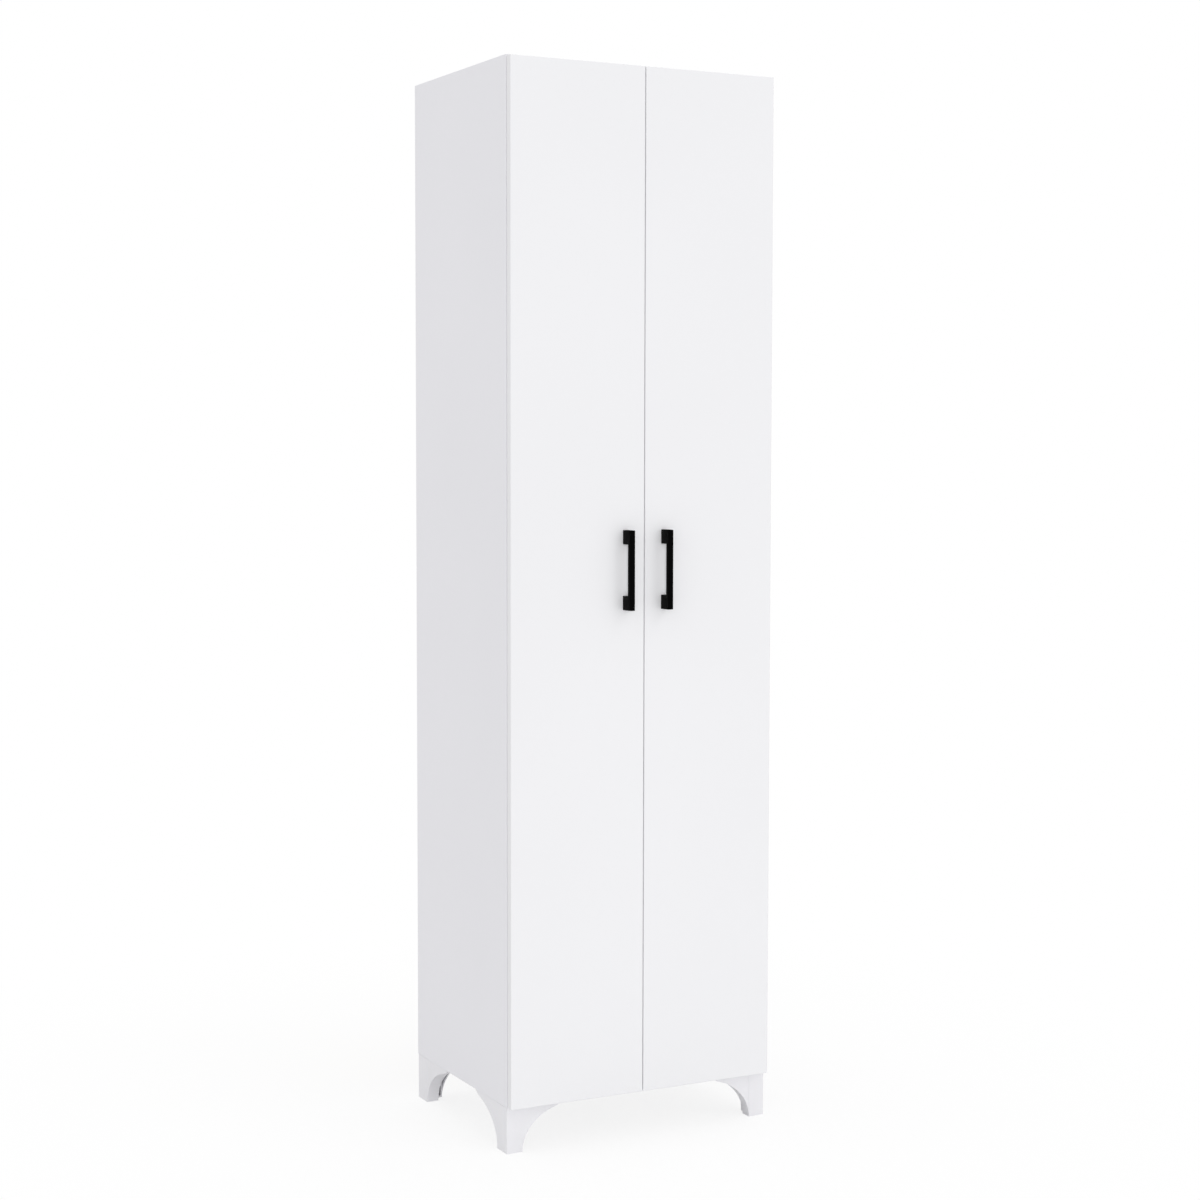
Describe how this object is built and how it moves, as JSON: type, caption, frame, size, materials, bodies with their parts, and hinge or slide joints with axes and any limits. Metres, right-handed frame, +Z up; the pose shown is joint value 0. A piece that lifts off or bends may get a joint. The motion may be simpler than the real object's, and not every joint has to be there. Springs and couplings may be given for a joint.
{
  "type": "two-door cupboard",
  "caption": "Tall white two-door cupboard on four arched corner feet, with black bow handles, concealed cup hinges and four shelves.",
  "frame": {"origin": "bottom centre of the whole cupboard with the doors shut, on the floor", "axes": "+Z up, +X to the right seen from the front, +Y to the back; the doors face -Y"},
  "size_m": [0.575, 0.4901, 2.0903],
  "materials": {
    "board_white": "satin",
    "door_white": "satin",
    "moulded_plastic": "satin",
    "back_fibre": "matte",
    "black_metal": "matte",
    "nickel_plate": "satin",
    "zinc_steel": "satin"
  },
  "bodies": {
    "root": {"back_panel": "back_fibre", "bottom_panel": "board_white", "fixed_shelf": "board_white", "front_left_foot": "moulded_plastic", "front_right_foot": "moulded_plastic", "left_lower_hinge_arm": "nickel_plate", "left_lower_hinge_plate": "zinc_steel", "left_middle_hinge_arm": "nickel_plate", "left_middle_hinge_plate": "zinc_steel", "left_side": "board_white", "left_upper_hinge_arm": "nickel_plate", "left_upper_hinge_plate": "zinc_steel", "lower_left_front_pin": "nickel_plate", "lower_left_rear_pin": "nickel_plate", "lower_right_front_pin": "nickel_plate", "lower_right_rear_pin": "nickel_plate", "lower_shelf": "board_white", "rear_left_foot": "moulded_plastic", "rear_right_foot": "moulded_plastic", "right_lower_hinge_arm": "nickel_plate", "right_lower_hinge_plate": "zinc_steel", "right_middle_hinge_arm": "nickel_plate", "right_middle_hinge_plate": "zinc_steel", "right_side": "board_white", "right_upper_hinge_arm": "nickel_plate", "right_upper_hinge_plate": "zinc_steel", "top_left_front_pin": "nickel_plate", "top_left_rear_pin": "nickel_plate", "top_panel": "board_white", "top_right_front_pin": "nickel_plate", "top_right_rear_pin": "nickel_plate", "top_shelf": "board_white", "upper_left_front_pin": "nickel_plate", "upper_left_rear_pin": "nickel_plate", "upper_right_front_pin": "nickel_plate", "upper_right_rear_pin": "nickel_plate", "upper_shelf": "board_white"},
    "left_door": {"left_door": "door_white", "left_handle": "black_metal", "left_lower_hinge_cup": "nickel_plate", "left_middle_hinge_cup": "nickel_plate", "left_upper_hinge_cup": "nickel_plate"},
    "left_inner_links": {"left_lower_hinge_inner_link": "zinc_steel", "left_middle_hinge_inner_link": "zinc_steel", "left_upper_hinge_inner_link": "zinc_steel"},
    "left_outer_links": {"left_lower_hinge_outer_link": "nickel_plate", "left_middle_hinge_outer_link": "nickel_plate", "left_upper_hinge_outer_link": "nickel_plate"},
    "right_door": {"right_door": "door_white", "right_handle": "black_metal", "right_lower_hinge_cup": "nickel_plate", "right_middle_hinge_cup": "nickel_plate", "right_upper_hinge_cup": "nickel_plate"},
    "right_inner_links": {"right_lower_hinge_inner_link": "zinc_steel", "right_middle_hinge_inner_link": "zinc_steel", "right_upper_hinge_inner_link": "zinc_steel"},
    "right_outer_links": {"right_lower_hinge_outer_link": "nickel_plate", "right_middle_hinge_outer_link": "nickel_plate", "right_upper_hinge_outer_link": "nickel_plate"}
  },
  "joints": [
    {"name": "left_door_swing", "type": "hinge", "parent": "left_outer_links", "child": "left_door", "pos_m": [-0.27753, -0.20185, 1.0888], "axis": [0, 0, -1], "range_deg": [0, 128]},
    {"name": "left_outer_link_swing", "type": "hinge", "parent": "root", "child": "left_outer_links", "pos_m": [-0.25426, -0.16838, 1.0888], "axis": [0, 0, -1], "range_deg": [-35, 0]},
    {"name": "left_inner_link_swing", "type": "hinge", "parent": "root", "child": "left_inner_links", "pos_m": [-0.26207, -0.19482, 1.0888], "axis": [0, 0, -1], "range_deg": [-64.2, 0]},
    {"name": "right_door_swing", "type": "hinge", "parent": "right_outer_links", "child": "right_door", "pos_m": [0.27753, -0.20185, 1.0888], "axis": [0, 0, 1], "range_deg": [0, 128]},
    {"name": "right_outer_link_swing", "type": "hinge", "parent": "root", "child": "right_outer_links", "pos_m": [0.25426, -0.16838, 1.0888], "axis": [0, 0, 1], "range_deg": [-35, 0]},
    {"name": "right_inner_link_swing", "type": "hinge", "parent": "root", "child": "right_inner_links", "pos_m": [0.26207, -0.19482, 1.0888], "axis": [0, 0, 1], "range_deg": [-64.2, 0]}
  ],
  "couplings": [
    {"joint": "left_outer_link_swing", "follows": "left_door_swing", "ratio": -0.271},
    {"joint": "left_inner_link_swing", "follows": "left_door_swing", "ratio": -0.499},
    {"joint": "right_outer_link_swing", "follows": "right_door_swing", "ratio": -0.271},
    {"joint": "right_inner_link_swing", "follows": "right_door_swing", "ratio": -0.499}
  ]
}
